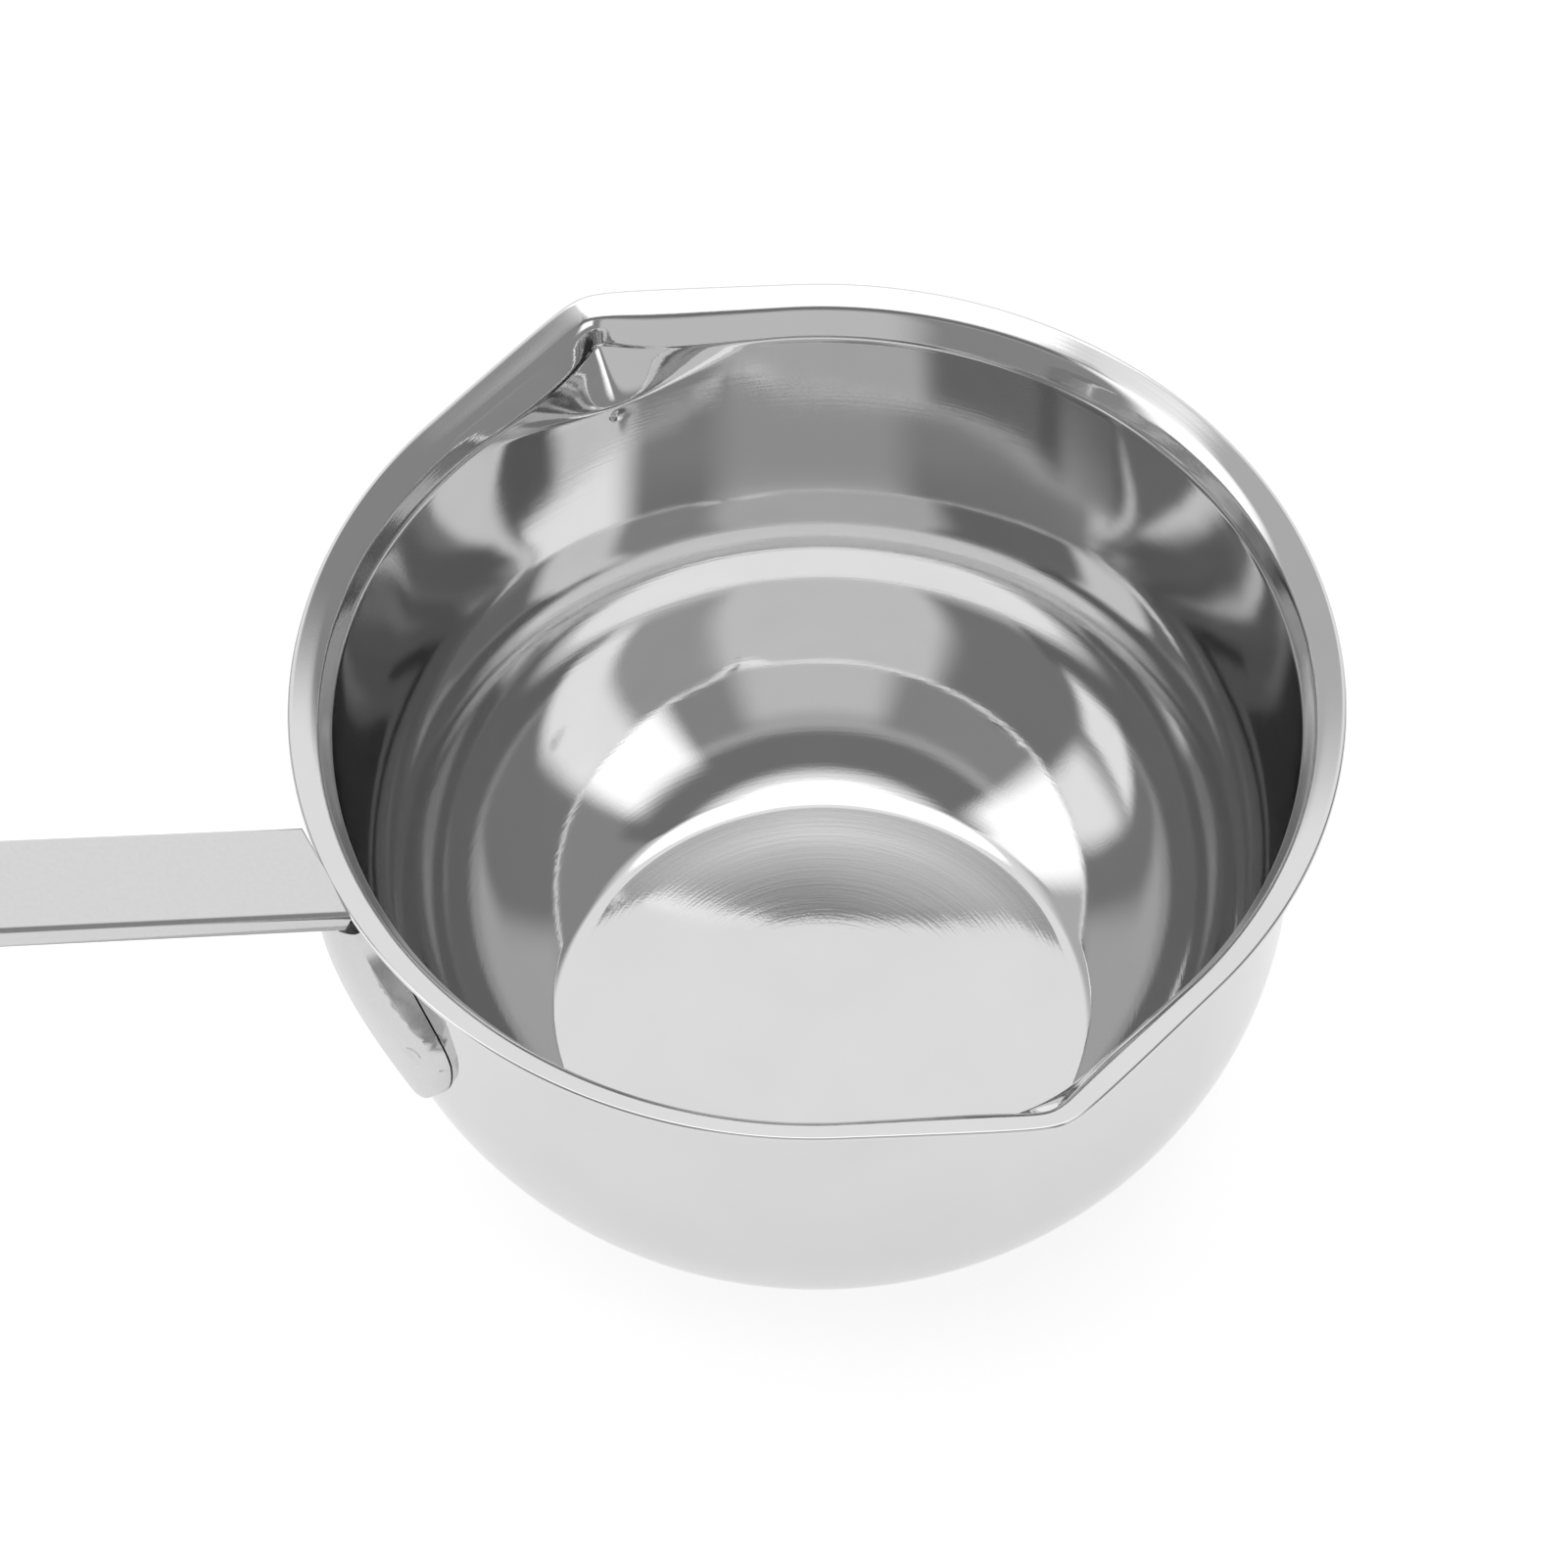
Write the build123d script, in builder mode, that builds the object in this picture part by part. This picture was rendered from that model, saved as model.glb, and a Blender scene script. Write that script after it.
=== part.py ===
from build123d import *
import os
from math import acos, atan, cos, degrees, radians, sin, sqrt, tan

os.makedirs("parts", exist_ok=True)

# A candle melting pot: a deep-drawn steel bowl with a flared lip and two pouring spouts, a long strip
# handle folded into a shallow channel, and the pressed bracket that carries the handle on the bowl.
# The origin is the middle of the flat base, +Z is up, the handle points along -X, the spouts along +-Y.

# ---- driving dimensions, in millimetres and degrees ----

# Bowl, outer surface
rim_radius = 70.0
bowl_height = 75.0
lip_width = 5.0           # how far the lip flares outward
lip_height = 5.3          # how far the lip rises
lip_bend_radius = 1.4     # outer surface, where the wall turns out into the lip
wall_taper = 3.5          # lean of the straight part of the wall
belly_height = 40.3       # where the straight wall turns into the round belly
base_radius = 36.3
base_bend_radius = 6.0    # inner surface, where the belly meets the flat base
bowl_sheet = 0.8

# Pouring spouts, pressed outward from the lip and the top of the wall
spout_foot_height = 58.5
spout_reach = 5.3         # tip beyond the round rim
spout_keel_nose = 2.0     # radius of the keel, that opens in the lip to the tip's radius
spout_tip_nose = 7.5
spout_foot_angle = 24.0   # half of the wall that a spout takes up at its foot, seen from the bowl's axis
spout_keel_angle = 3.0    # half of the keel there

# Handle, a strip with its long edges and its outer end folded down
handle_rise = 28.5
handle_length = 150.0
handle_width = 16.0
handle_sheet = 1.2
handle_fold_depth = 2.8
handle_fold_radius = 1.0
handle_above_rim = 3.7
handle_rim_gap = 0.1
hang_hole_radius = 4.0
hang_hole_from_end = 11.0

# Bracket, a pressed dish: a round pad that lands on the wall by its edge, and a half-round neck
bracket_sheet = 1.5
bracket_rim_gap = 0.8       # from the lip out to the bracket's neck
bracket_pad_radius = 17.0
bracket_pad_height = 50.0
bracket_neck_half_width = 5.0
bracket_neck_height = 69.0  # the pad narrows to the neck between its own height and this one
bracket_neck_stand = 4.0    # depth of the dish's edge at the neck; at the pad it is the bare sheet
bracket_levels = 11
bracket_tab_length = 22.0
weld_gap = 0.1              # left between welded faces
weld_dimple_radius = 1.3
weld_dimple_depth = 0.5
weld_dimple_side = 13.7
weld_dimple_height = 51.2

# ---- the bowl's outer surface, and the handle's place over it ----

lip_slope = atan(lip_width / lip_height)
wall_slope = radians(wall_taper)
neck_radius = rim_radius - lip_width
neck_height = bowl_height - lip_height
belly_radius = neck_radius - (neck_height - belly_height) * tan(wall_slope)

# The belly is an arc that leaves the straight wall smoothly and ends on the edge of the base.
belly_run = belly_radius - base_radius
belly_curve = (belly_run**2 + belly_height**2) / (2 * (belly_run * cos(wall_slope) - belly_height * sin(wall_slope)))
belly_centre_radius = belly_radius - belly_curve * cos(wall_slope)
belly_centre_height = belly_height + belly_curve * sin(wall_slope)

# The bend under the lip is an arc that touches both the wall and the lip.
bend_run = lip_bend_radius * tan((lip_slope - wall_slope) / 2)
bend_centre_radius = neck_radius - bend_run * sin(wall_slope) + lip_bend_radius * cos(wall_slope)
bend_centre_height = neck_height - bend_run * cos(wall_slope) - lip_bend_radius * sin(wall_slope)

handle_root = (-rim_radius - handle_rim_gap, 0, bowl_height + handle_above_rim)
handle_along = (-cos(radians(handle_rise)), 0, sin(radians(handle_rise)))
handle_up = (sin(radians(handle_rise)), 0, cos(radians(handle_rise)))
handle_top = Plane(origin=handle_root, x_dir=handle_along, z_dir=handle_up)


def wall_radius(height):
    """Radius of the bowl's outer surface below the lip."""
    if height >= belly_height:
        return neck_radius - (neck_height - height) * tan(wall_slope)
    return belly_centre_radius + sqrt(belly_curve**2 - (height - belly_centre_height) ** 2)


def at_angle(radius, angle):
    """Point at an angle in degrees from +Y, where a spout lies."""
    return (radius * sin(radians(angle)), radius * cos(radians(angle)))


def round_outline(height, radius):
    """Circle in the eight pieces of a spouted outline: both sides, both keels and four flanks."""
    turns = [180 - spout_foot_angle, spout_foot_angle, spout_keel_angle, -spout_keel_angle, -spout_foot_angle]
    turns += [turn - 180 for turn in (spout_foot_angle, spout_keel_angle, -spout_keel_angle, -spout_foot_angle)]
    with BuildSketch(Plane.XY.offset(height)) as outline:
        with BuildLine():
            for start, end in zip(turns, turns[1:]):
                ThreePointArc(at_angle(radius, start), at_angle(radius, (start + end) / 2), at_angle(radius, end))
        make_face()
    return outline.sketch


def spouted_outline(height, radius, tip, nose):
    """Circle drawn out to a rounded V on +Y and on -Y."""
    flank = degrees(acos((radius - nose) / (tip - nose)))
    side, shoulder = at_angle(radius, 90), at_angle(radius, flank)
    nose_end = (nose * sin(radians(flank)), tip - nose + nose * cos(radians(flank)))
    with BuildSketch(Plane.XY.offset(height)) as outline:
        with BuildLine():
            ThreePointArc((shoulder[0], -shoulder[1]), side, shoulder)
            Line(shoulder, nose_end)
            ThreePointArc(nose_end, (0, tip), (-nose_end[0], nose_end[1]))
            Line((-nose_end[0], nose_end[1]), (-shoulder[0], shoulder[1]))
            ThreePointArc((-shoulder[0], shoulder[1]), (-radius, 0), (-shoulder[0], -shoulder[1]))
            Line((-shoulder[0], -shoulder[1]), (-nose_end[0], -nose_end[1]))
            ThreePointArc((-nose_end[0], -nose_end[1]), (0, -tip), (nose_end[0], -nose_end[1]))
            Line((nose_end[0], -nose_end[1]), (shoulder[0], -shoulder[1]))
        make_face()
    return outline.sketch


def bowl_form(inset, overshoot):
    """Solid inside the bowl's outer surface, or inside a surface that lies deeper by the inset."""
    wall_shift = inset / cos(wall_slope)
    foot_radius = wall_radius(spout_foot_height) - wall_shift
    top = bowl_height + overshoot
    top_radius = rim_radius + overshoot * tan(lip_slope) - inset / cos(lip_slope)

    keel_slope = (rim_radius + spout_reach - wall_radius(spout_foot_height)) / (bowl_height - spout_foot_height)
    keel_shift = inset * sqrt(1 + keel_slope**2)

    def outline(height, radius):
        tip = wall_radius(spout_foot_height) + keel_slope * (height - spout_foot_height) - keel_shift
        climb = max(0, (height - neck_height) / lip_height)
        return spouted_outline(height, radius, tip, spout_keel_nose + climb * (spout_tip_nose - spout_keel_nose))

    bend = []
    for step in range(5):
        slope = wall_slope + step / 4 * (lip_slope - wall_slope)
        radius = bend_centre_radius - (lip_bend_radius + inset) * cos(slope)
        bend.append(outline(bend_centre_height + (lip_bend_radius + inset) * sin(slope), radius))

    curve = belly_curve - inset
    base_edge = belly_centre_radius + sqrt(curve**2 - (belly_centre_height - inset) ** 2)
    belly_top = (belly_centre_radius + curve * cos(wall_slope), belly_centre_height - curve * sin(wall_slope))
    with BuildPart() as form:
        with BuildSketch(Plane.XZ):
            with BuildLine():
                Line((0, inset), (base_edge, inset))
                RadiusArc((base_edge, inset), belly_top, -curve)
                Line(belly_top, (foot_radius, spout_foot_height))
                Line((foot_radius, spout_foot_height), (0, spout_foot_height))
                Line((0, spout_foot_height), (0, inset))
            make_face()
        revolve(axis=Axis.Z)
        fillet(form.faces().sort_by(Axis.Z)[0].edges(), base_bend_radius + bowl_sheet - inset)
        loft([round_outline(spout_foot_height, foot_radius), bend[0]], ruled=True)
        loft(bend)
        loft([bend[-1], outline(top, top_radius)], ruled=True)
    return form.part


# ---- bowl ----

outer_form = bowl_form(0, 0)
inner_form = bowl_form(bowl_sheet, 1)

with BuildPart() as bowl:
    add(outer_form)
    add(inner_form, mode=Mode.SUBTRACT)

# ---- handle ----

end_centre = handle_length - handle_width / 2


def strip_outline(start, margin):
    """Outline of the strip with its round outer end, drawn in by a margin, from a place near its root."""
    half_width = handle_width / 2 - margin
    with BuildLine() as outline:
        Polyline((end_centre, -half_width), (start, -half_width), (start, half_width), (end_centre, half_width))
        ThreePointArc((end_centre, half_width), (end_centre + half_width, 0), (end_centre, -half_width))
    return outline.line


with BuildPart() as handle:
    with BuildSketch(handle_top):
        add(strip_outline(0, 0))
        make_face()
    extrude(amount=-handle_fold_depth)
    top_face = handle.faces().sort_by(Axis(handle_root, handle_up))[-1]
    fillet(top_face.edges(), handle_fold_radius)
    with BuildSketch(handle_top.offset(-handle_sheet)):
        add(strip_outline(-handle_sheet, handle_sheet))
        make_face()
    extrude(amount=-handle_fold_depth, mode=Mode.SUBTRACT)
    with BuildSketch(handle_top):
        with Locations((handle_length - hang_hole_from_end, 0)):
            Circle(hang_hole_radius)
    extrude(amount=-handle_fold_depth, mode=Mode.SUBTRACT)

# ---- bracket ----

pad_foot_height = bracket_pad_height - bracket_pad_radius
neck_top_height = handle_root[2]
crown_top = rim_radius + bracket_rim_gap + bracket_sheet
crown_foot = wall_radius(pad_foot_height) + weld_gap + bracket_sheet

# Seen from the side the crown is an arc, upright at the handle, that meets the wall at the pad's foot.
crown_drop = neck_top_height - pad_foot_height
crown_curve = (crown_drop**2 + (crown_top - crown_foot) ** 2) / (2 * (crown_top - crown_foot))


def crown_place(height):
    """How far the middle of the bracket's outer face lies from the bowl's axis."""
    return crown_top - crown_curve + sqrt(crown_curve**2 - (neck_top_height - height) ** 2)


def bracket_half_width(height):
    """The pad's half width, that narrows smoothly to the neck's."""
    climb = (height - bracket_pad_height) / (bracket_neck_height - bracket_pad_height)
    climb = min(max(climb, 0), 1)
    return bracket_pad_radius + climb**2 * (3 - 2 * climb) * (bracket_neck_half_width - bracket_pad_radius)


def bracket_section(height, inset):
    """Arched slice through the bracket's outer face at one height, filled in towards the bowl's axis."""
    half_width = bracket_half_width(height) - inset
    climb = max(0, (height - bracket_pad_height) / (bracket_neck_height - bracket_pad_height))
    stand = bracket_sheet + climb * (bracket_neck_stand - bracket_sheet)
    edge = sqrt(wall_radius(height) ** 2 - bracket_half_width(height) ** 2) + weld_gap + stand - inset
    with BuildSketch(Plane.XY.offset(height)) as section:
        with BuildLine():
            ThreePointArc((-edge, half_width), (inset - crown_place(height), 0), (-edge, -half_width))
            Polyline((-edge, -half_width), (-base_radius, -half_width), (-base_radius, half_width), (-edge, half_width))
        make_face()
    return section.sketch


def bracket_form(inset):
    """Solid behind the bracket's outer face, or behind a face that lies deeper by the inset."""
    bottom = pad_foot_height - bracket_sheet
    step = (neck_top_height - bottom) / (bracket_levels - 1)
    with BuildPart() as form:
        loft([bracket_section(bottom + level * step, inset) for level in range(bracket_levels)])
        with BuildSketch(Plane.YZ):
            with Locations((0, bracket_pad_height)):
                Circle(bracket_pad_radius - inset)
                Rectangle(4 * bracket_pad_radius, crown_drop, align=(Align.CENTER, Align.MIN))
        extrude(amount=-2 * rim_radius, mode=Mode.INTERSECT)
    return form.part


bracket_outer = bracket_form(0)
bracket_inner = bracket_form(bracket_sheet)
bowl_clearance = bowl_form(-weld_gap, 0)
tab_face = handle_top.offset(-handle_sheet - weld_gap)

with BuildPart() as mounting_bracket:
    add(bracket_outer)
    add(bracket_inner, mode=Mode.SUBTRACT)
    add(bowl_clearance, mode=Mode.SUBTRACT)
    with BuildSketch(Plane.XY.offset(neck_height)):
        Circle(rim_radius + bracket_rim_gap)
    extrude(amount=neck_top_height, mode=Mode.SUBTRACT)
    split(bisect_by=tab_face, keep=Keep.BOTTOM)
    with BuildSketch(tab_face):
        with Locations((bracket_rim_gap, 0)):
            Rectangle(bracket_tab_length, 2 * bracket_neck_half_width, align=(Align.MIN, Align.CENTER))
    extrude(amount=-bracket_sheet)
    # Each spot weld leaves a shallow round dimple on the outer face.
    dimple_ball = (weld_dimple_radius**2 + weld_dimple_depth**2) / (2 * weld_dimple_depth)
    for side in (-weld_dimple_side, weld_dimple_side):
        ray = Axis((-2 * rim_radius, side, weld_dimple_height), (1, 0, 0))
        spot, outward = bracket_outer.find_intersection_points(ray)[0]
        with Locations(spot + outward * (dimple_ball - weld_dimple_depth)):
            Sphere(dimple_ball, mode=Mode.SUBTRACT)

# ---- labels and files ----

bowl.part.label = "bowl"
export_step(bowl.part, "parts/bowl.step")
handle.part.label = "handle"
export_step(handle.part, "parts/handle.step")
mounting_bracket.part.label = "mounting_bracket"
export_step(mounting_bracket.part, "parts/mounting_bracket.step")
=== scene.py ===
from math import acos, atan, cos, degrees, pi, radians, sin, sqrt, tan

import bmesh
import bpy
from mathutils import Matrix, Vector


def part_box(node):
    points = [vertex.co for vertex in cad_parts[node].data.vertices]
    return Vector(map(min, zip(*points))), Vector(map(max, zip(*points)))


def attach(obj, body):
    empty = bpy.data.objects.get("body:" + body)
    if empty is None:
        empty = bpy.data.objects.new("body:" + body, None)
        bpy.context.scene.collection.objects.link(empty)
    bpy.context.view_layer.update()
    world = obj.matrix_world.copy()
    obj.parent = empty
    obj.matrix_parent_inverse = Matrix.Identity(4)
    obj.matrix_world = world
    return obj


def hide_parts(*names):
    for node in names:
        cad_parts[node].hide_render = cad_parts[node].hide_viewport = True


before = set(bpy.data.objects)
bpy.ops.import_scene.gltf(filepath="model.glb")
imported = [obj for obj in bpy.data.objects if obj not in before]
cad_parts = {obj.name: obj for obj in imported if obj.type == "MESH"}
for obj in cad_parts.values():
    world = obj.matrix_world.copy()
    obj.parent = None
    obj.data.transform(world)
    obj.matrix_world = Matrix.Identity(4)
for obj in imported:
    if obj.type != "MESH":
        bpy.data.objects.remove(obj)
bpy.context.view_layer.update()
scene = bpy.context.scene

# ---- Bowl ----
# One disc of thin stainless steel, deep-drawn in a press. Its lip is flared in two steps and two
# pouring spouts are pressed into it. It is buffed bright inside and out, which leaves fine rings.

bowl_low, bowl_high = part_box("bowl")
rim_radius = bowl_high.x
bowl_height = bowl_high.z
sheet = 0.0008
edge_round = 0.00034
lip_width = 0.0050
lip_height = 0.0053
wall_lean = radians(3.5)
flare_lean = radians(30)
rim_lean = radians(64)
wall_bend = 0.0014
flare_bend = 0.0025
belly_height = 0.0403
base_radius = 0.0363
base_bend = 0.0068
base_rise = 0.00035
rise_start = 0.6  # the base rises a little outside this share of its radius
spout_depth = 0.0118
dent_drop = 0.0018  # how far the dent lies under the spout's foot

neck_radius = rim_radius - lip_width
neck_height = bowl_height - lip_height
spout_foot = bowl_height - spout_depth
belly_radius = neck_radius - (neck_height - belly_height) * tan(wall_lean)

# The belly is an arc that runs into the leaning wall and aims at the edge of the base.
belly_run = belly_radius - base_radius
belly_reach = belly_run * cos(wall_lean) - belly_height * sin(wall_lean)
belly_curve = (belly_run**2 + belly_height**2) / (2 * belly_reach)
belly_middle = (belly_radius - belly_curve * cos(wall_lean), belly_height + belly_curve * sin(wall_lean))

# The flare rises from the neck at its own lean, and folds once more before the sheet's cut edge.
edge_height = bowl_height - sheet * sin(rim_lean)
flare_out = rim_radius - neck_radius
flare_up = edge_height - neck_height
outer_flare = (flare_out * cos(flare_lean) - flare_up * sin(flare_lean)) / sin(rim_lean - flare_lean)
fold = (rim_radius - outer_flare * sin(rim_lean), edge_height - outer_flare * cos(rim_lean))

# Rows of faces along each stretch of the outline; they lie closest where the spouts are pressed.
base_rows, bend_rows, belly_rows = 8, 12, 32
wall_rows, pressed_rows, neck_rows = 7, 28, 6
flare_rows, fold_rows, edge_rows = 5, 8, 4


def arc(middle, radius, start, end, steps):
    """Points on an arc; angles are measured from straight out of the bowl, upward."""
    turns = [start + (end - start) * step / steps for step in range(steps + 1)]
    return [(middle[0] + radius * cos(turn), middle[1] + radius * sin(turn)) for turn in turns]


def between(start, end, steps):
    """Points inside a straight run, without its two ends."""
    run, climb = end[0] - start[0], end[1] - start[1]
    return [(start[0] + run * step / steps, start[1] + climb * step / steps) for step in range(1, steps)]


def outward_bend(corner, radius, low_lean, high_lean, inset, steps):
    """Bend that turns the sheet outward at a corner of its outer face."""
    run = radius * tan((high_lean - low_lean) / 2)
    middle = (corner[0] - run * sin(low_lean) + radius * cos(low_lean),
              corner[1] - run * cos(low_lean) - radius * sin(low_lean))
    return arc(middle, radius + inset, pi - low_lean, pi - high_lean, steps)


def bowl_side(inset):
    """Half outline of one face of the sheet, from the axis up to the cut edge."""
    curve = belly_curve - inset
    bend = base_bend - inset
    # The base bend touches the flat base and the belly, which turns away from it.
    bend_height = inset + bend
    bend_out = belly_middle[0] + sqrt((curve - bend)**2 - (belly_middle[1] - bend_height)**2)
    meet = atan((bend_height - belly_middle[1]) / (bend_out - belly_middle[0]))
    base = arc((bend_out, bend_height), bend, -pi / 2, meet, bend_rows)
    belly = arc(belly_middle, curve, meet, -wall_lean, belly_rows)[1:]
    neck = outward_bend((neck_radius, neck_height), wall_bend, wall_lean, flare_lean, inset, neck_rows)
    dent_foot = spout_foot - 2 * dent_drop
    pressed_start = (neck[0][0] - (neck[0][1] - dent_foot) * tan(wall_lean), dent_foot)
    flare = outward_bend(fold, flare_bend, flare_lean, rim_lean, inset, fold_rows)
    lip_end = (rim_radius - inset * cos(rim_lean), edge_height + inset * sin(rim_lean))

    points = [(0, inset)] + between((0, inset), base[0], base_rows) + base + belly
    points += between(points[-1], pressed_start, wall_rows)
    points += between(pressed_start, neck[0], pressed_rows) + neck
    points += between(neck[-1], flare[0], flare_rows) + flare + between(flare[-1], lip_end, flare_rows)
    points += [(lip_end[0] - edge_round * sin(rim_lean), lip_end[1] - edge_round * cos(rim_lean))]

    risen = []
    flat_radius = base[0][0]
    rising = base_rise / (1 - rise_start)**2
    for radius, height in points:
        outward = min(max(radius / flat_radius, rise_start), 1) - rise_start
        fading = max(0, 1 - (height - inset) / neck_height)
        risen.append((radius, height + rising * outward**2 * fading))
    return risen


outer_side, inner_side = bowl_side(0), bowl_side(sheet)
edge_rounds = []
for corner, start, inward in ((outer_side[-1], -rim_lean, edge_round),
                              (inner_side[-1], pi / 2 - rim_lean, -edge_round)):
    middle = (corner[0] - inward * cos(rim_lean), corner[1] + inward * sin(rim_lean))
    edge_rounds += arc(middle, edge_round, start, start + pi / 2, edge_rows)
half_outline = outer_side[:-1] + edge_rounds + inner_side[-2::-1]

outline_curve = bpy.data.curves.new("bowl_outline", "CURVE")
outline_curve.dimensions = "3D"
outline_spline = outline_curve.splines.new("POLY")
outline_spline.points.add(len(half_outline) - 1)
spindle = 0.001  # the circle that the outline is turned on
for point, (radius, height) in zip(outline_spline.points, half_outline):
    point.co = (radius - spindle, -height, 0, 1)
bowl_outline = bpy.data.objects.new("bowl_outline", outline_curve)
scene.collection.objects.link(bowl_outline)


class NodeBench:
    """Adds nodes to a tree one after another; an input is given a number, a name or a socket."""

    def __init__(self, tree):
        self.tree = tree

    def add(self, kind, *inputs, out=0, **settings):
        node = self.tree.nodes.new(kind)
        for name, value in settings.items():
            setattr(node, name, value)
        for place, value in enumerate(inputs):
            self.feed(node.inputs[place], value)
        return node.outputs[out]

    def feed(self, socket, value):
        if value is None:
            return
        if isinstance(value, bpy.types.NodeSocket):
            self.tree.links.new(value, socket)
        else:
            socket.default_value = value

    def math(self, operation, *inputs):
        return self.add("ShaderNodeMath", *inputs, operation=operation)

    def within(self, value, low, high):
        return self.math("MINIMUM", self.math("MAXIMUM", value, low), high)

    def distance(self, across, along):
        """Distance from the origin of a plane."""
        squares = [self.math("MULTIPLY", side, side) for side in (across, along)]
        return self.math("SQRT", self.math("ADD", *squares))

    def noise(self, place, scale, detail):
        texture = self.tree.nodes.new("ShaderNodeTexNoise")
        self.feed(texture.inputs["Vector"], place)
        self.feed(texture.inputs["Scale"], scale)
        self.feed(texture.inputs["Detail"], detail)
        return texture.outputs["Fac"]


def modifier_inputs(modifier, tree, values):
    """Sets a modifier's named inputs by their identifiers."""
    for item in tree.interface.items_tree:
        if item.item_type == "SOCKET" and item.in_out == "INPUT" and item.name in values:
            modifier[item.identifier] = values[item.name]


doubles_gap = 1e-6  # points nearer than this are one point


def turn_bowl():
    """Tree that turns the outline about the bowl's axis and presses the two spouts into the lip."""
    tree = bpy.data.node_groups.new("turn_bowl", "GeometryNodeTree")
    spout_sizes = ["Spout foot height", "Neck height", "Rim height", "Neck angle", "Rim angle",
                   "Keel rounding", "Tip rounding", "Keel easing", "Groove depth", "Groove width"]
    mark_sizes = ["Dent depth", "Dent size", "Dent drop", "Wall waviness", "Wave scale"]
    turning_sizes = ["Spindle", "Angle gathering"]
    tree.interface.new_socket("Geometry", in_out="INPUT", socket_type="NodeSocketGeometry")
    for name in spout_sizes + mark_sizes + turning_sizes:
        tree.interface.new_socket(name, in_out="INPUT", socket_type="NodeSocketFloat")
    tree.interface.new_socket("Segments", in_out="INPUT", socket_type="NodeSocketInt")
    tree.interface.new_socket("Steel", in_out="INPUT", socket_type="NodeSocketMaterial")
    tree.interface.new_socket("Geometry", in_out="OUTPUT", socket_type="NodeSocketGeometry")
    bench = NodeBench(tree)
    math = bench.math
    given = tree.nodes.new("NodeGroupInput").outputs
    (foot, neck, top, neck_angle, rim_angle,
     keel_rounding, tip_rounding, easing, groove_depth, groove_width) = (given[name] for name in spout_sizes)
    dent, dent_size, drop, wave, wave_scale = (given[name] for name in mark_sizes)
    spindle_radius, gathering = (given[name] for name in turning_sizes)

    circle = tree.nodes.new("GeometryNodeCurvePrimitiveCircle")
    tree.links.new(given["Segments"], circle.inputs["Resolution"])
    tree.links.new(spindle_radius, circle.inputs["Radius"])
    turned = tree.nodes.new("GeometryNodeCurveToMesh")
    tree.links.new(circle.outputs["Curve"], turned.inputs["Curve"])
    tree.links.new(given["Geometry"], turned.inputs["Profile Curve"])
    merged = tree.nodes.new("GeometryNodeMergeByDistance")
    tree.links.new(turned.outputs["Mesh"], merged.inputs["Geometry"])
    merged.inputs["Distance"].default_value = doubles_gap

    # Where a point lies: its height, its distance from the axis, and its angle from the +Y spout. The
    # angles are drawn together towards both spouts, where the bends are tight.
    place = bench.add("ShaderNodeSeparateXYZ", bench.add("GeometryNodeInputPosition")).node.outputs
    height = place["Z"]
    radius = bench.distance(place["X"], place["Y"])
    even_angle = math("ARCTAN2", place["X"], place["Y"])
    gathered = math("MULTIPLY", math("SINE", math("MULTIPLY", even_angle, 2.0)), gathering)
    angle = math("SUBTRACT", even_angle, gathered)
    sine, cosine = math("SINE", angle), math("COSINE", angle)
    off_keel = math("ARCTAN2", math("ABSOLUTE", sine), math("ABSOLUTE", cosine))

    # How far up the spout a point lies: below the neck, and in the lip.
    rise = math("DIVIDE", math("SUBTRACT", height, foot), math("SUBTRACT", neck, foot))
    rise = bench.within(rise, 0.0, 1.0)
    climb = math("DIVIDE", math("SUBTRACT", height, neck), math("SUBTRACT", top, neck))
    climb = bench.within(climb, 0.0, 1.0)

    # Two flat flanks leave the round wall and meet in a rounded keel.
    eased = math("DIVIDE", math("MULTIPLY", rise, rise), math("ADD", rise, easing))
    spread = math("MULTIPLY", neck_angle, math("SQRT", eased))
    spread = math("ADD", spread, math("MULTIPLY", climb, math("SUBTRACT", rim_angle, neck_angle)))
    opening = math("MULTIPLY", climb, math("SUBTRACT", tip_rounding, keel_rounding))
    rounding = math("ADD", keel_rounding, opening)
    keel = bench.distance(off_keel, rounding)
    flank = math("MAXIMUM", math("SUBTRACT", math("ADD", spread, rounding), keel), 0.0)
    bulge = math("SUBTRACT", math("DIVIDE", 1.0, math("COSINE", flank)), 1.0)

    # Below the lip the keel is a narrow groove, that runs out at the foot and in the rim.
    aside = math("SUBTRACT", math("MULTIPLY", keel, radius), math("MULTIPLY", rounding, radius))
    fading = math("EXPONENT", math("DIVIDE", math("MULTIPLY", aside, -1.0), groove_width))
    groove = math("MULTIPLY", math("MULTIPLY", groove_depth, eased), math("SUBTRACT", 1.0, climb))
    grooved = math("MULTIPLY", groove, fading)

    # The punch leaves a small dent under the keel's foot.
    across = math("DIVIDE", math("MULTIPLY", off_keel, radius), dent_size)
    along = math("DIVIDE", math("ADD", math("SUBTRACT", height, foot), drop), dent_size)
    nearness = math("ADD", math("MULTIPLY", across, across), math("MULTIPLY", along, along))
    dented = math("MULTIPLY", dent, math("EXPONENT", math("MULTIPLY", nearness, -1.0)))

    # The drawn wall is never quite true. The waves die out at the base and just under the neck.
    near_neck = math("DIVIDE", math("SUBTRACT", neck, height), dent_size)
    at_wall = bench.within(math("MINIMUM", math("DIVIDE", height, neck), near_neck), 0.0, 1.0)
    around = bench.add("ShaderNodeCombineXYZ", math("MULTIPLY", radius, sine),
                       math("MULTIPLY", radius, cosine), height)
    ripple = math("SUBTRACT", bench.noise(around, wave_scale, 1.0), 0.5)
    wavy = math("MULTIPLY", math("MULTIPLY", wave, at_wall), ripple)

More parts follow.
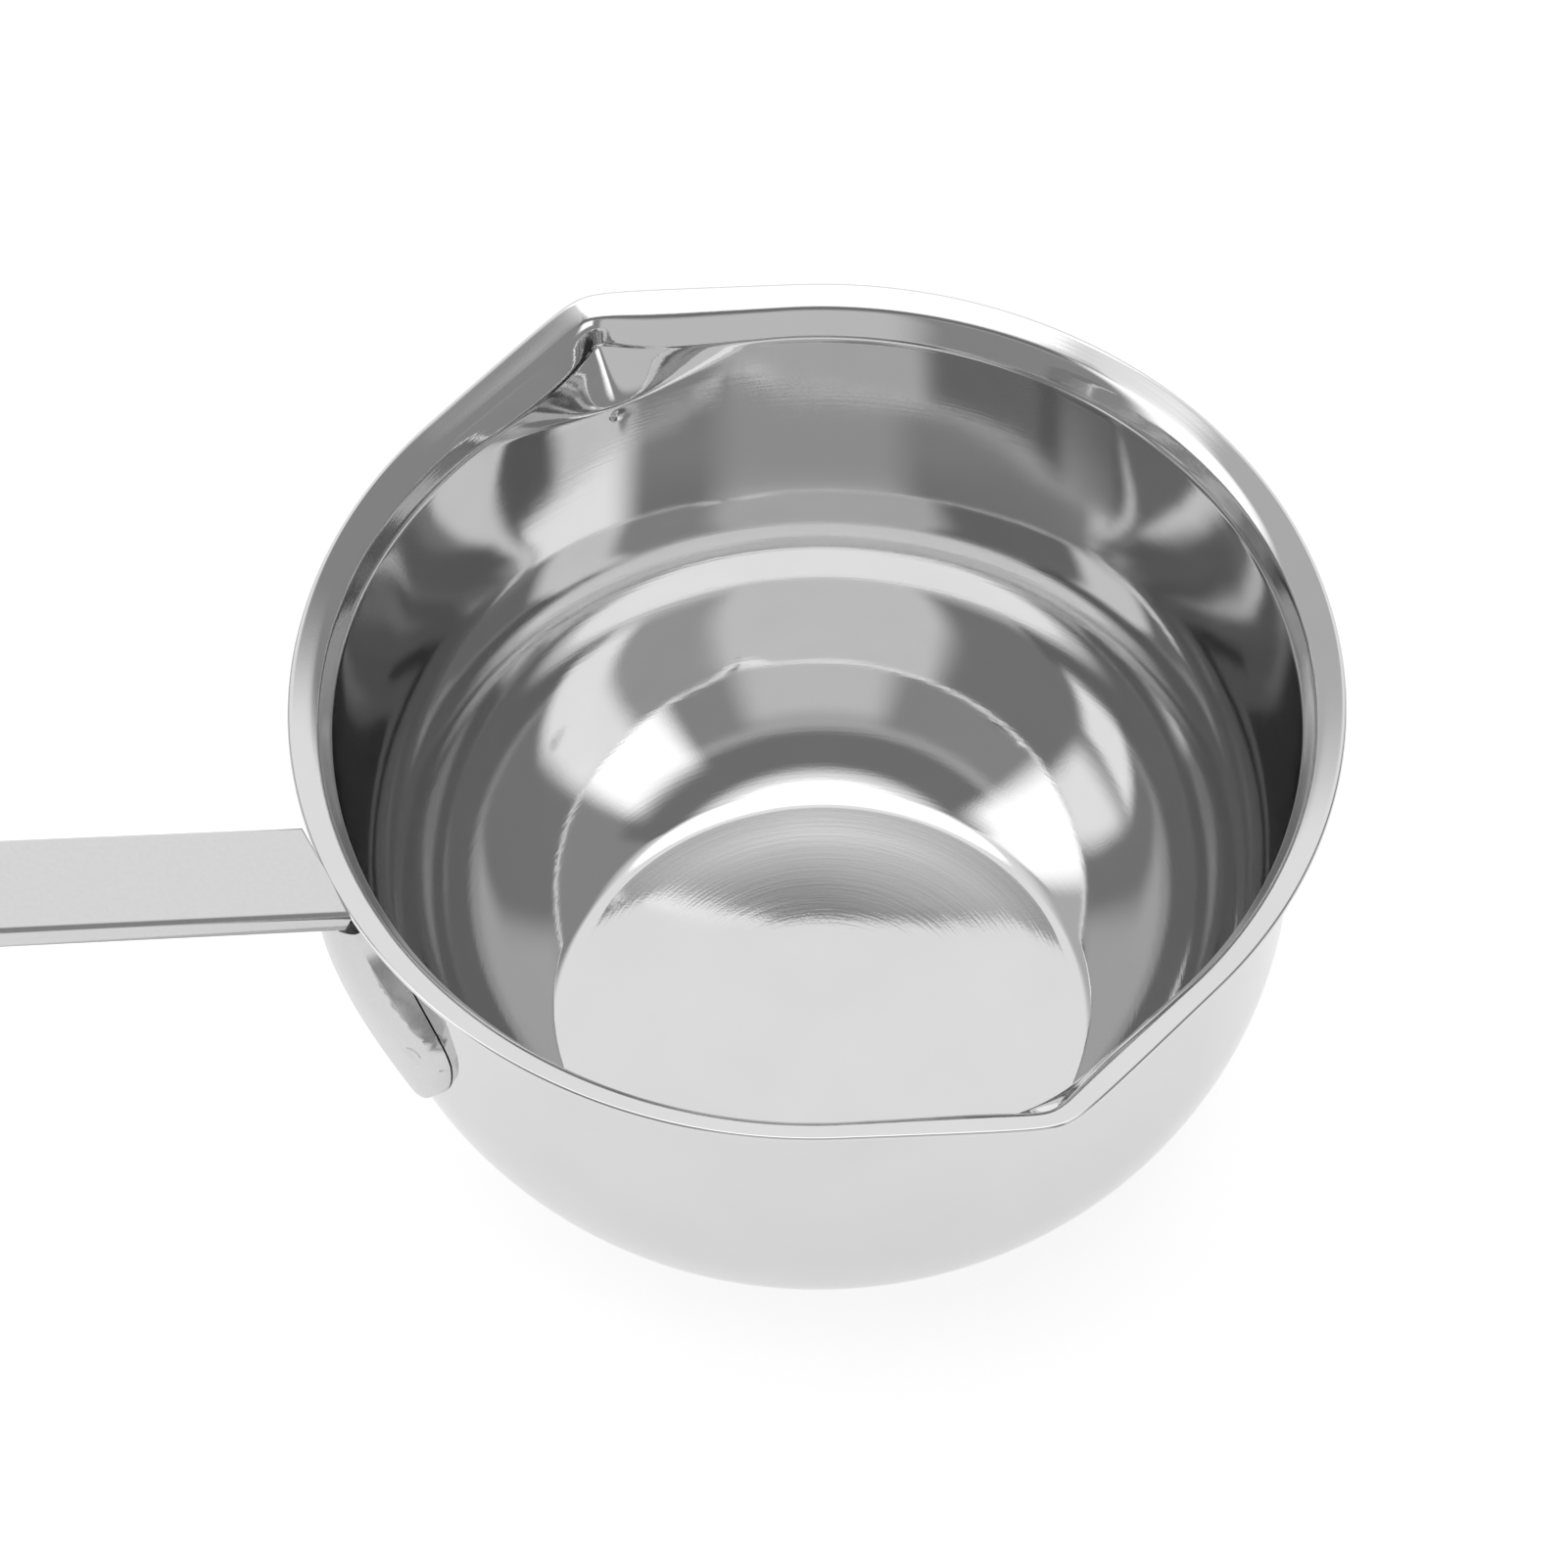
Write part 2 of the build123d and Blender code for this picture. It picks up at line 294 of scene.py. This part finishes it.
    marks = math("ADD", math("ADD", grooved, dented), wavy)
    pushed = math("ADD", math("MULTIPLY", radius, math("ADD", bulge, 1.0)), marks)
    pressed = bench.add("ShaderNodeCombineXYZ", math("MULTIPLY", pushed, sine),
                        math("MULTIPLY", pushed, cosine), height)
    moved = tree.nodes.new("GeometryNodeSetPosition")
    tree.links.new(merged.outputs["Geometry"], moved.inputs["Geometry"])
    tree.links.new(pressed, moved.inputs["Position"])

    realized = tree.nodes.new("GeometryNodeRealizeInstances")
    tree.links.new(moved.outputs["Geometry"], realized.inputs["Geometry"])
    steel = tree.nodes.new("GeometryNodeSetMaterial")
    tree.links.new(realized.outputs["Geometry"], steel.inputs["Geometry"])
    tree.links.new(given["Steel"], steel.inputs["Material"])
    tree.links.new(steel.outputs["Geometry"], tree.nodes.new("NodeGroupOutput").inputs[0])
    return tree


noise_low, noise_high = 0.3, 0.7  # nearly all of a noise lies between these


def grey_range(bench, amount, dark, bright):
    """Grey that follows a noise from a dark shade to a bright one."""
    ramp = bench.tree.nodes.new("ShaderNodeValToRGB")
    for element, shade in zip(ramp.color_ramp.elements, (dark, bright)):
        element.color = (shade, shade, shade, 1)
    bench.feed(ramp.inputs["Fac"], amount)
    return ramp.outputs["Color"]


def polished_steel(name, roughness, bump_strength):
    """Bright steel with fine rings round the bowl's axis from buffing, and a fine grain."""
    ring_scale, ring_stretch, ring_depth = 2600.0, 0.0006, 0.00001
    grain_scale, grain_depth = 3200.0, 0.000006
    cloud_scale = 60.0
    dark_shade, bright_shade = 0.68, 0.74
    steel = bpy.data.materials.new(name)
    steel.use_nodes = True
    bench = NodeBench(steel.node_tree)
    shader = steel.node_tree.nodes["Principled BSDF"]
    shader.inputs["Metallic"].default_value = 0.97  # fine scratches scatter a little light
    place = steel.node_tree.nodes.new("ShaderNodeTexCoord").outputs["Object"]
    parts = bench.add("ShaderNodeSeparateXYZ", place).node.outputs
    radius = bench.distance(parts["X"], parts["Y"])
    turn = bench.math("ARCTAN2", parts["Y"], parts["X"])
    stretched = bench.math("MULTIPLY", turn, ring_stretch)
    ring_place = bench.add("ShaderNodeCombineXYZ", radius, stretched, parts["Z"])
    ring_noise = bench.noise(ring_place, ring_scale, 4.0)
    cloud = bench.noise(place, cloud_scale, 5.0)
    grain = bench.noise(place, grain_scale, 2.0)

    mixed = bench.math("ADD", bench.math("MULTIPLY", ring_noise, 0.5), bench.math("MULTIPLY", cloud, 0.5))
    rough = bench.add("ShaderNodeMapRange", mixed, noise_low, noise_high, roughness * 0.75, roughness * 1.3)
    bench.feed(shader.inputs["Roughness"], rough)
    bench.feed(shader.inputs["Base Color"], grey_range(bench, cloud, dark_shade, bright_shade))

    bumped = None
    for height, depth in ((ring_noise, ring_depth), (grain, grain_depth)):
        bump = steel.node_tree.nodes.new("ShaderNodeBump")
        bump.inputs["Strength"].default_value = bump_strength
        bump.inputs["Distance"].default_value = depth
        bench.feed(bump.inputs["Height"], height)
        bench.feed(bump.inputs["Normal"], bumped)
        bumped = bump.outputs["Normal"]
    bench.feed(shader.inputs["Normal"], bumped)
    return steel


neck_tip = neck_radius * 1.06  # where the two flanks would meet at the neck
spout_tip = bowl_high.y
bowl_tree = turn_bowl()
turning = bowl_outline.modifiers.new("turn_bowl", "NODES")
turning.node_group = bowl_tree
modifier_inputs(turning, bowl_tree, {
    "Spout foot height": spout_foot, "Neck height": neck_height, "Rim height": edge_height,
    "Neck angle": acos(neck_radius / neck_tip), "Rim angle": acos(rim_radius / spout_tip),
    "Keel rounding": radians(1.1), "Tip rounding": radians(2.3), "Keel easing": 0.08,
    "Groove depth": 0.0020, "Groove width": 0.0030,
    "Dent depth": 0.0002, "Dent size": 0.0009, "Dent drop": dent_drop,
    "Wall waviness": 0.0002, "Wave scale": 40.0,
    "Angle gathering": 0.42, "Segments": 400, "Spindle": spindle,
    "Steel": polished_steel("buffed_steel", 0.045, 0.3)})

sharp_angle = radians(35)


def plain_mesh(source, name):
    """Object with a plain mesh of the source, as its modifiers leave it."""
    graph = bpy.context.evaluated_depsgraph_get()
    mesh = bpy.data.meshes.new_from_object(source.evaluated_get(graph), depsgraph=graph)
    mesh.name = name
    piece = bpy.data.objects.new(name, mesh)
    scene.collection.objects.link(piece)
    return piece


def finished_mesh(source, name):
    """Plain mesh with its doubles merged, its normals outward and its edges sharp where it folds."""
    piece = plain_mesh(source, name)
    shape = bmesh.new()
    shape.from_mesh(piece.data)
    bmesh.ops.remove_doubles(shape, verts=shape.verts, dist=doubles_gap)
    bmesh.ops.recalc_face_normals(shape, faces=shape.faces)
    shape.to_mesh(piece.data)
    shape.free()
    piece.data.shade_smooth()
    piece.data.set_sharp_from_angle(angle=sharp_angle)
    return piece


bowl = finished_mesh(bowl_outline, "drawn_bowl")
bpy.data.objects.remove(bowl_outline)
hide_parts("bowl")
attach(bowl, "root")

# ---- Handle ----
# A strip of thicker steel, stamped and folded down along both edges into a shallow channel, with a
# hole to hang it by. Tumbling leaves it satin.


def satin_steel(name, roughness):
    """Tumbled steel, with a faint fine mottle in its shade and its gloss."""
    mottle_scale = 1400.0
    dark_shade, bright_shade = 0.64, 0.70
    steel = bpy.data.materials.new(name)
    steel.use_nodes = True
    bench = NodeBench(steel.node_tree)
    shader = steel.node_tree.nodes["Principled BSDF"]
    shader.inputs["Metallic"].default_value = 1.0
    place = steel.node_tree.nodes.new("ShaderNodeTexCoord").outputs["Object"]
    mottle = bench.noise(place, mottle_scale, 3.0)
    rough = bench.add("ShaderNodeMapRange", mottle, noise_low, noise_high, roughness * 0.9, roughness * 1.1)
    bench.feed(shader.inputs["Roughness"], rough)
    bench.feed(shader.inputs["Base Color"], grey_range(bench, mottle, dark_shade, bright_shade))
    return steel


def dressed(node, name, steel):
    """Puts a smooth copy of a solid in its place, with its flat faces kept flat."""
    merged_copy = finished_mesh(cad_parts[node], name + "_copy")
    evened = merged_copy.modifiers.new("flat_faces_first", "WEIGHTED_NORMAL")
    evened.keep_sharp = True
    piece = plain_mesh(merged_copy, name)
    bpy.data.objects.remove(merged_copy)
    piece.data.materials.clear()
    piece.data.materials.append(steel)
    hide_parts(node)
    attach(piece, "root")


dressed("handle", "strip_handle", satin_steel("tumbled_steel", 0.22))

# ---- Bracket ----
# A dished pressing of thick steel, tumbled like the handle. It is spot-welded to the bowl's wall by
# its pad and welded to the underside of the handle by its tab.

dressed("mounting_bracket", "pressed_bracket", satin_steel("pressing_steel", 0.25))

# ---- Studio ----
# A pale matt floor in a white tent. Grey panels and softboxes stand round the pot, where its
# polished steel mirrors them, and the camera looks down into the bowl past the handle.

floor_half = 3.0
floor_shade = 0.5
camera_whiteness = 0.72
mirror_whiteness = 0.6
floor_corners = [(-floor_half, -floor_half), (floor_half, -floor_half),
                 (floor_half, floor_half), (-floor_half, floor_half)]
floor_mesh = bpy.data.meshes.new("studio_floor")
floor_mesh.from_pydata([(x, y, bowl_low.z) for x, y in floor_corners], [], [(0, 1, 2, 3)])
floor = bpy.data.objects.new("studio_floor", floor_mesh)
scene.collection.objects.link(floor)
floor_paint = bpy.data.materials.new("floor_paint")
floor_paint.use_nodes = True
floor_nodes = floor_paint.node_tree.nodes
floor_nodes.clear()
floor_bench = NodeBench(floor_paint.node_tree)
matt = floor_bench.add("ShaderNodeBsdfDiffuse", (floor_shade, floor_shade, floor_shade, 1))

# The camera and the steel see the floor as white, and it throws no more light than its shade.
path = floor_nodes.new("ShaderNodeLightPath")
camera_glow = floor_bench.math("MULTIPLY", path.outputs["Is Camera Ray"], camera_whiteness)
mirror_glow = floor_bench.math("MULTIPLY", path.outputs["Is Glossy Ray"], mirror_whiteness)
glow = floor_nodes.new("ShaderNodeEmission")
floor_bench.feed(glow.inputs["Strength"], floor_bench.math("ADD", camera_glow, mirror_glow))
both = floor_bench.add("ShaderNodeAddShader", matt, glow.outputs[0])
floor_bench.feed(floor_nodes.new("ShaderNodeOutputMaterial").inputs["Surface"], both)
floor_mesh.materials.append(floor_paint)

view_turn = radians(-24.2)
world = bpy.data.worlds.new("studio_tent")
scene.world = world
world.use_nodes = True
tent = NodeBench(world.node_tree)
direction = world.node_tree.nodes.new("ShaderNodeTexCoord").outputs["Generated"]
flattened = tent.add("ShaderNodeVectorMath", direction, (1, 1, 0), operation="MULTIPLY")
level = tent.add("ShaderNodeVectorMath", flattened, operation="NORMALIZE")
upward = tent.add("ShaderNodeSeparateXYZ", direction).node.outputs["Z"]


def soft_step(value, low, high):
    """From 0 at the low value to 1 at the high one, smoothly."""
    return tent.add("ShaderNodeMapRange", value, low, high, interpolation_type="SMOOTHSTEP")


def mixed_light(light, cover, brightness):
    """Light with a share of it covered by another brightness."""
    return tent.math("ADD", tent.math("MULTIPLY", light, tent.math("SUBTRACT", 1.0, cover)),
                     tent.math("MULTIPLY", cover, brightness))


def panel(light, turn, half_turn, bottom, top, softness, brightness):
    """Light with a panel before it; degrees, turned clockwise from straight behind the pot."""
    heading = radians(degrees(view_turn) + 90 - turn)
    ahead = (cos(heading), sin(heading), 0)
    facing = tent.add("ShaderNodeVectorMath", level, ahead, operation="DOT_PRODUCT", out="Value")
    outer_turn = min(half_turn + softness, 180)
    inner_turn = max(half_turn - softness, 0)
    across = soft_step(facing, cos(radians(outer_turn)), cos(radians(inner_turn)))
    above = soft_step(upward, sin(radians(bottom - softness)), sin(radians(bottom + softness)))
    below = soft_step(upward, sin(radians(min(top + softness, 90))), sin(radians(top - softness)))
    cover = tent.math("MULTIPLY", across, tent.math("MULTIPLY", above, below))
    return mixed_light(light, cover, brightness)


# Each panel's turn, half turn, bottom, top, softness and brightness; later ones stand before the rest.
panels = {
    "grey screen on the left": (-62, 22, -10, 60, 8, 0.55),
    "dark room behind the camera": (180, 75, -5, 50, 6, 0.3),
    "pale camera stand": (180, 20, -5, 46, 6, 0.66),
    "dark screen on the right": (82, 30, -5, 62, 8, 0.3),
    "dark beam over the camera": (180, 80, 49, 63, 2.5, 0.2),
    "softbox on the left": (-97, 16, 0, 58, 6, 1.5),
    "softbox on the right": (124, 14, 24, 50, 5, 1.5),
}
light = 1.0
for edges in panels.values():
    light = panel(light, *edges)
ceiling_start = radians(63)
ceiling_full = radians(67)
ceiling_brightness = 1.5
ceiling = soft_step(upward, sin(ceiling_start), sin(ceiling_full))
light = tent.math("MAXIMUM", light, tent.math("MULTIPLY", ceiling, ceiling_brightness))
seen = world.node_tree.nodes.new("ShaderNodeLightPath").outputs["Is Camera Ray"]
light = mixed_light(light, seen, 1.0)
tent.feed(world.node_tree.nodes["Background"].inputs["Color"], light)

view_height = radians(54.4)
view_roll = radians(-1.2)
view_distance = 1.4
# How far the middle of the rim lies beside and above the middle of the view.
rim_aside = 0.00431
rim_above = 0.01135
camera_data = bpy.data.cameras.new("studio_camera")
camera_data.sensor_width = 36.0
camera_data.lens = 243.8
camera = bpy.data.objects.new("studio_camera", camera_data)
scene.collection.objects.link(camera)
turned = Matrix.Rotation(view_turn, 3, "Z")
tilted = Matrix.Rotation(pi / 2 - view_height, 3, "X")
rolled = Matrix.Rotation(view_roll, 3, "Z")
facing = turned @ tilted @ rolled
rim_in_view = Vector((rim_aside, rim_above, -view_distance))
stand = Vector((0, 0, bowl_height)) - facing @ rim_in_view
camera.matrix_world = Matrix.Translation(stand) @ facing.to_4x4()
scene.camera = camera
scene.view_settings.view_transform = "Standard"
